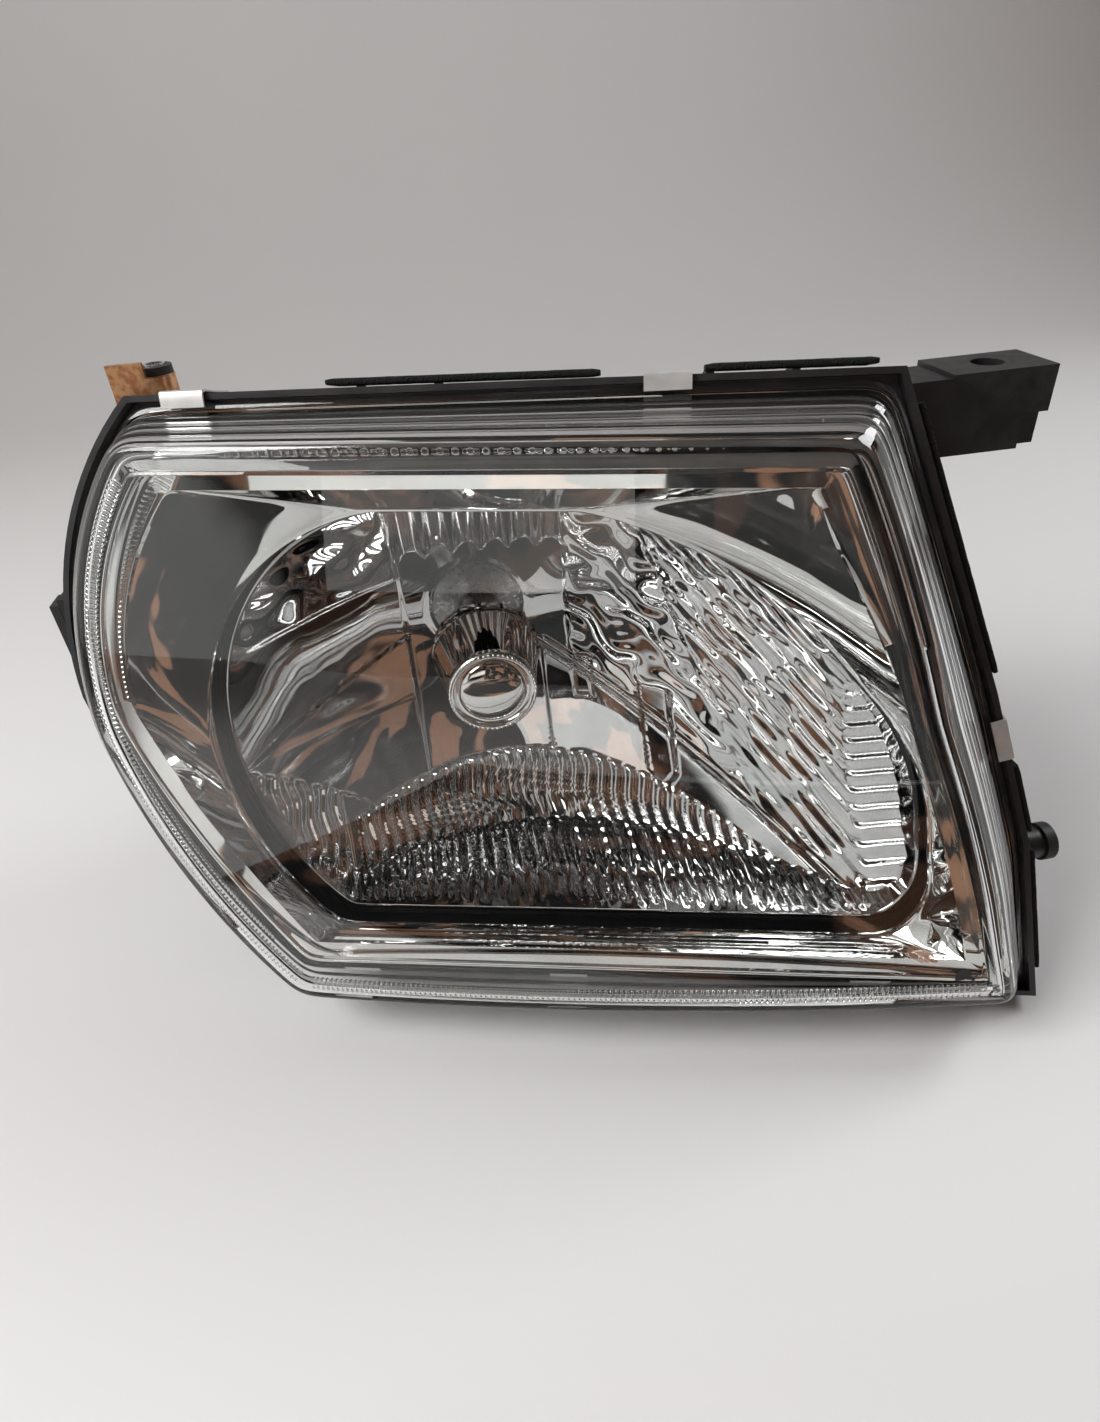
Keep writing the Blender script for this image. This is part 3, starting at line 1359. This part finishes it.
# ------------------------------------------------------------------------------ the room
@dataclass
class Studio:
    """Camera, pale sweep, soft lights and the surroundings that the bright parts mirror."""

    eye: tuple[float, float, float] = (-24.2, -213.2, 143.4)
    yaw: float = 6.4
    pitch: float = 34.5
    roll: float = 4.6
    lens: float = 21.27

    def camera(self) -> None:
        """Set the camera at the viewing angle."""
        yaw, pitch, roll = (math.radians(value) for value in (self.yaw, self.pitch, self.roll))
        ahead = Vector((math.sin(yaw) * math.cos(pitch), math.cos(yaw) * math.cos(pitch), -math.sin(pitch)))
        right = Vector((math.cos(yaw), -math.sin(yaw), 0))
        over = right.cross(ahead)
        side = right * math.cos(roll) - over * math.sin(roll)
        top = right * math.sin(roll) + over * math.cos(roll)
        data = bpy.data.cameras.new("studio_camera")
        data.lens = self.lens
        data.sensor_width = 36.0
        data.clip_start = 0.01
        camera = bpy.data.objects.new("studio_camera", data)
        bpy.context.scene.collection.objects.link(camera)
        turn = Matrix((side, top, -ahead)).transposed().to_4x4()
        camera.matrix_world = Matrix.Translation(row_point(*self.eye)) @ turn
        bpy.context.scene.camera = camera

    def sweep(self) -> None:
        """Build the pale floor that curves up into a backdrop."""
        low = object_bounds()[0].z
        middle = FACE.middle
        profile = [(-2.5, low), (0.9, low)]
        profile += [(0.9 + 0.6 * math.sin(t * math.pi / 24), low + 0.6 - 0.6 * math.cos(t * math.pi / 24))
                    for t in range(1, 13)]
        profile.append((1.5, low + 3.0))
        points = [Vector((middle[0] + side, middle[1] + y, z)) for y, z in profile for side in (-3.0, 3.0)]
        faces = [(2 * i, 2 * i + 1, 2 * i + 3, 2 * i + 2) for i in range(len(profile) - 1)]
        mesh = bpy.data.meshes.new("studio_sweep")
        mesh.from_pydata([tuple(point) for point in points], [], faces)
        for face in mesh.polygons:
            face.use_smooth = True
        recipe = Recipe("pale_sweep")
        tone = recipe.noise(3.0, 2.0)
        recipe.set(Base_Color=recipe.blend(tone, (0.8, 0.8, 0.8, 1), (0.76, 0.76, 0.77, 1)),
                   Roughness=tone.between(0.5, 0.65))
        recipe.relief(recipe.noise(900.0), 0.05, 0.0001)
        mesh.materials.append(recipe.material)
        sweep = bpy.data.objects.new("studio_sweep", mesh)
        bpy.context.scene.collection.objects.link(sweep)
        sweep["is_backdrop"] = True

    def light(self, name: str, at: tuple[float, float, float], size: float, power: float,
              tint: tuple[float, float, float]) -> None:
        """Add a soft square light aimed at the lamp.

        Args:
            name: Its name.
            at: Where, in metres from the face's middle.
            size: Its side in metres.
            power: Its power in watts.
            tint: Its colour.
        """
        data = bpy.data.lights.new(name, "AREA")
        data.shape = "SQUARE"
        data.size = size
        data.energy = power
        data.color = tint
        lamp = bpy.data.objects.new(name, data)
        bpy.context.scene.collection.objects.link(lamp)
        lamp.location = Vector(FACE.middle) + Vector(at)
        lamp.rotation_mode = "QUATERNION"
        lamp.rotation_quaternion = (-Vector(at)).to_track_quat("-Z", "Y")

    def card(self, name: str, corners: Sequence[tuple[float, float, float]], glow: float = 0.0) -> None:
        """Stand a card where only the bright parts see it.

        Args:
            name: Its name.
            corners: Its corners, in metres from the face's middle.
            glow: How much light it gives off.
        """
        mesh = bpy.data.meshes.new(name)
        places = [tuple(Vector(FACE.middle) + Vector(corner)) for corner in corners]
        mesh.from_pydata(places, [], [(0, 1, 2, 3)])
        recipe = Recipe(name + "_cloth")
        patches = recipe.noise(5.5, 2.0).step(0.54, 0.57)
        recipe.set(Base_Color=recipe.blend(patches, (0.01, 0.01, 0.011, 1), (0.34, 0.18, 0.11, 1)),
                   Roughness=recipe.noise(20.0).between(0.8, 0.95), Emission_Color=(1.0, 1.0, 0.97, 1.0),
                   Emission_Strength=glow)
        mesh.materials.append(recipe.material)
        made = bpy.data.objects.new(name, mesh)
        bpy.context.scene.collection.objects.link(made)
        made.visible_camera = False
        made.visible_shadow = False
        made.visible_diffuse = False
        made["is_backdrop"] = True

    def surroundings(self) -> None:
        """Make a pale room with a dim side behind the viewer."""
        world = bpy.data.worlds.new("pale_room")
        world.use_nodes = True
        bpy.context.scene.world = world
        world.node_tree.nodes.clear()
        graph = Graph(world.node_tree)
        spot = graph.node("ShaderNodeTexCoord").outputs["Generated"]
        dim_side = Vector((0.34, -0.8, 0.5)).normalized()
        dot = graph.node("ShaderNodeVectorMath", {"operation": "DOT_PRODUCT"}, {0: spot, 1: dim_side})
        speckle = graph.node("ShaderNodeTexNoise", None, {"Vector": spot, "Scale": 2.6, "Detail": 3.0})
        wobble = Flow(graph, speckle.outputs[0]) * 0.55 + Flow(graph, dot.outputs["Value"])
        blobs = graph.node("ShaderNodeTexNoise", None, {"Vector": spot, "Scale": 4.2, "Detail": 2.0})
        ramp = graph.node("ShaderNodeValToRGB", None, {0: blobs.outputs[0]})
        stops = ramp.color_ramp.elements
        stops[0].position, stops[0].color = 0.5, (0.012, 0.011, 0.011, 1)
        stops[1].position, stops[1].color = 0.56, (0.2, 0.105, 0.065, 1)
        pale = graph.blend(wobble.step(0.52, 0.6), (0.9, 0.9, 0.88, 1), ramp.outputs[0])
        path = graph.node("ShaderNodeLightPath").outputs["Is Camera Ray"]
        seen = graph.blend(Flow(graph, path), pale, (0.8, 0.8, 0.8, 1))
        backdrop = graph.node("ShaderNodeBackground", None, {"Color": seen, "Strength": 0.95})
        graph.node("ShaderNodeOutputWorld", None, {"Surface": backdrop.outputs[0]})

    def build(self) -> None:
        """Set up the studio."""
        self.camera()
        self.sweep()
        self.surroundings()
        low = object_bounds()[0].z - FACE.middle[2]
        self.card("dim_screen", ((-0.12, -0.7, low), (0.75, -0.5, low), (0.75, -0.5, 1.0),
                                 (-0.12, -0.7, 1.0)))
        self.card("dim_mat", ((-0.4, -0.7, low + 0.002), (0.75, -0.5, low + 0.002), (0.5, -0.13, low + 0.002),
                              (-0.3, -0.13, low + 0.002)))
        self.card("pale_band", ((-0.9, -0.95, 0.1), (0.1, -1.05, 0.1), (0.1, -1.05, 0.34),
                                (-0.9, -0.95, 0.34)), 0.9)
        self.light("key_soft", (-0.9, -0.25, 0.9), 0.6, 14.0, (1.0, 0.99, 0.97))
        self.light("fill_right", (1.1, 0.2, 0.8), 0.5, 7.0, (0.96, 0.98, 1.0))
        bpy.context.scene.view_settings.view_transform = "Standard"


def main() -> None:
    """Build the looks of the whole assembly and report each piece."""
    logging.basicConfig(level=logging.INFO, format="%(name)s %(message)s")
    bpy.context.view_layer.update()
    shop = Workshop()
    shop.mix_finishes()
    for part in (Lens(shop), Trim(shop), Dish(shop), Shield(shop), Edging(shop), Boot(shop), Plain(shop),
                 Studio()):
        log.info("building %s", type(part).__name__)
        part.build()


if __name__ == "__main__":
    main()
